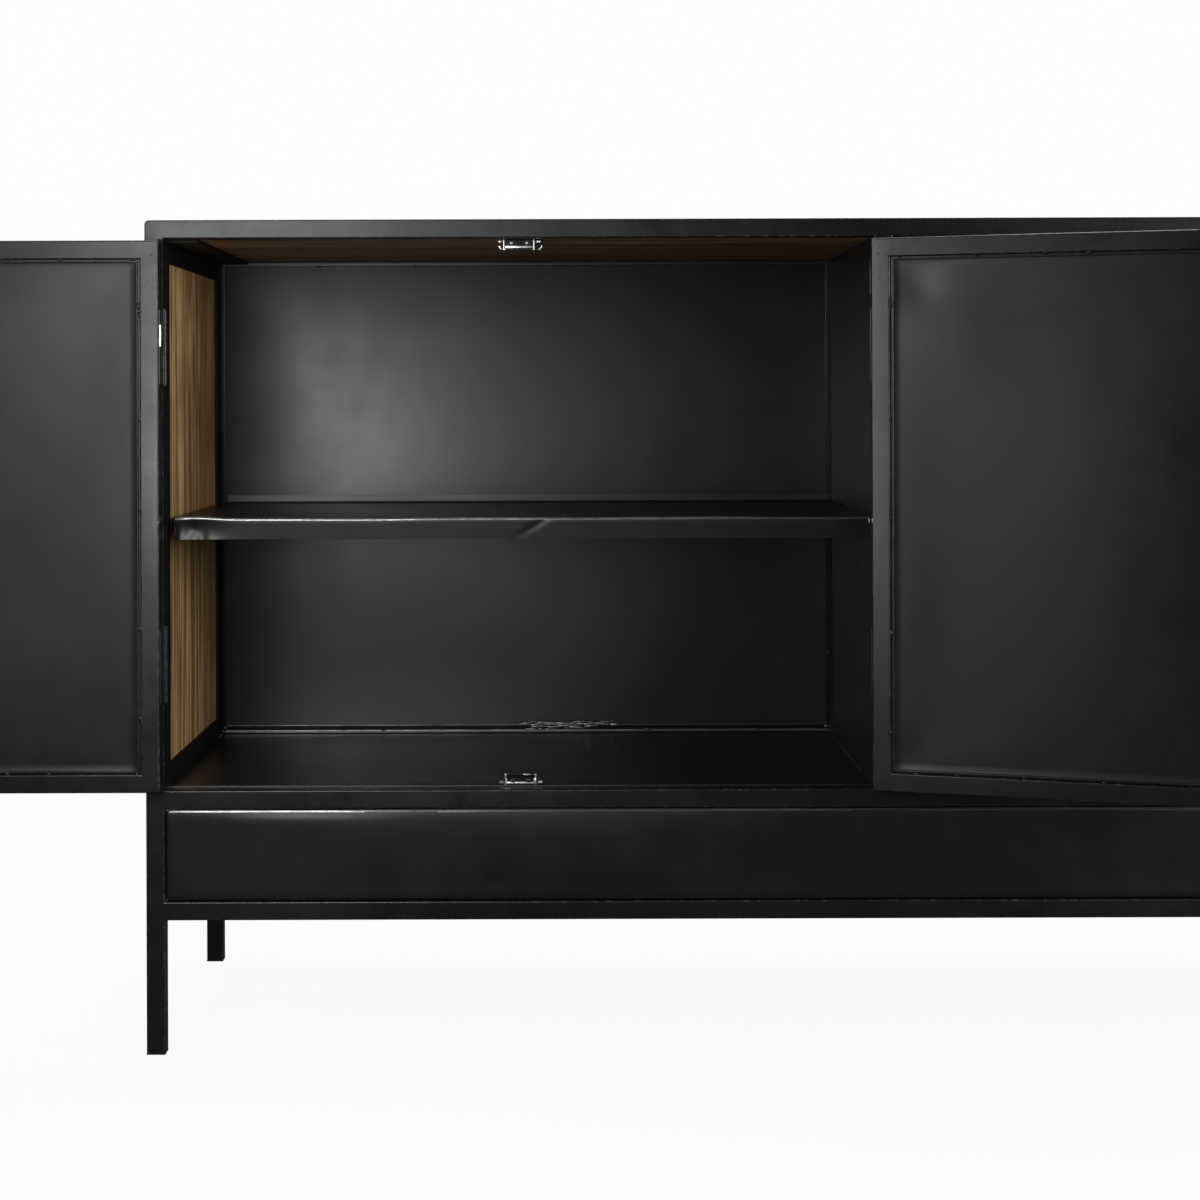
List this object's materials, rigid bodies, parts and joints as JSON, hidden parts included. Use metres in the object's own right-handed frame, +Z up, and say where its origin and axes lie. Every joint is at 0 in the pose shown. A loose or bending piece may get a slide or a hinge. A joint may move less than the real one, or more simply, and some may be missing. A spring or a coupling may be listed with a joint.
{
  "type": "sideboard buffet",
  "caption": "Low storage cabinet on square legs: a black welded tube frame with sheet-steel and timber panels, a shelf in each compartment and paired doors on butt hinges.",
  "frame": {"origin": "on the floor, under the middle of the cabinet without its doors", "axes": "+X along the width to the viewer's right, +Y towards the back (the doors face -Y), +Z up"},
  "size_m": [1.8448, 0.5369, 0.85],
  "materials": {
    "frame_steel": "satin black, slightly uneven",
    "sheet_steel": "satin black with a cloudy patina",
    "hinge_steel": "satin, painted with the frame",
    "timber": "oiled, matt",
    "zinc": "zinc plated",
    "magnet": "matt",
    "black_plastic": "matt"
  },
  "bodies": {
    "cabinet": {"post_front_left": "frame_steel", "post_front_right": "frame_steel", "post_back_left": "frame_steel", "post_back_right": "frame_steel", "center_post": "frame_steel", "top_rail_front": "frame_steel", "top_rail_back": "frame_steel", "top_rail_left": "frame_steel", "top_rail_right": "frame_steel", "mid_rail_front": "frame_steel", "mid_rail_back": "frame_steel", "mid_rail_left": "frame_steel", "mid_rail_right": "frame_steel", "bottom_rail_front": "frame_steel", "bottom_rail_back": "frame_steel", "bottom_rail_left": "frame_steel", "bottom_rail_right": "frame_steel", "divider_rails": "frame_steel", "foot_plugs": "black_plastic", "top_planks": "timber", "side_planks_left": "timber", "side_planks_right": "timber", "side_strips": "frame_steel", "back_panel": "sheet_steel", "back_stops": "frame_steel", "divider_skin_left": "sheet_steel", "divider_skin_right": "sheet_steel", "floor_left": "sheet_steel", "floor_right": "sheet_steel", "fascia_front": "sheet_steel", "fascia_back": "sheet_steel", "fascia_sides": "sheet_steel", "shelf_left": "sheet_steel", "shelf_right": "sheet_steel", "shelf_cleats": "frame_steel", "catch_bodies": "zinc", "catch_magnets": "magnet", "catch_screws": "zinc", "hinge_leaves": "hinge_steel", "hinge_pins": "hinge_steel"},
    "door_1": {"door_1_frame": "frame_steel", "door_1_sheet": "sheet_steel", "door_1_planks": "timber", "door_1_leaves": "hinge_steel", "door_1_pull": "frame_steel"},
    "door_2": {"door_2_frame": "frame_steel", "door_2_sheet": "sheet_steel", "door_2_planks": "timber", "door_2_leaves": "hinge_steel", "door_2_pull": "frame_steel"},
    "door_3": {"door_3_frame": "frame_steel", "door_3_sheet": "sheet_steel", "door_3_planks": "timber", "door_3_leaves": "hinge_steel", "door_3_pull": "frame_steel"},
    "door_4": {"door_4_frame": "frame_steel", "door_4_sheet": "sheet_steel", "door_4_planks": "timber", "door_4_leaves": "hinge_steel", "door_4_pull": "frame_steel"}
  },
  "joints": [
    {"name": "door_1_hinge", "type": "hinge", "parent": "cabinet", "child": "door_1", "pos_m": [-0.7325, -0.204, 0.559], "axis": [0, 0, 1], "range_deg": [-15, 180]},
    {"name": "door_2_hinge", "type": "hinge", "parent": "cabinet", "child": "door_2", "pos_m": [-0.011, -0.204, 0.559], "axis": [0, 0, 1], "range_deg": [-162, 4]},
    {"name": "door_3_hinge", "type": "hinge", "parent": "cabinet", "child": "door_3", "pos_m": [0.011, -0.204, 0.559], "axis": [0, 0, 1], "range_deg": [-9, 0]},
    {"name": "door_4_hinge", "type": "hinge", "parent": "cabinet", "child": "door_4", "pos_m": [0.7325, -0.204, 0.559], "axis": [0, 0, 1], "range_deg": [0, 195]}
  ]
}
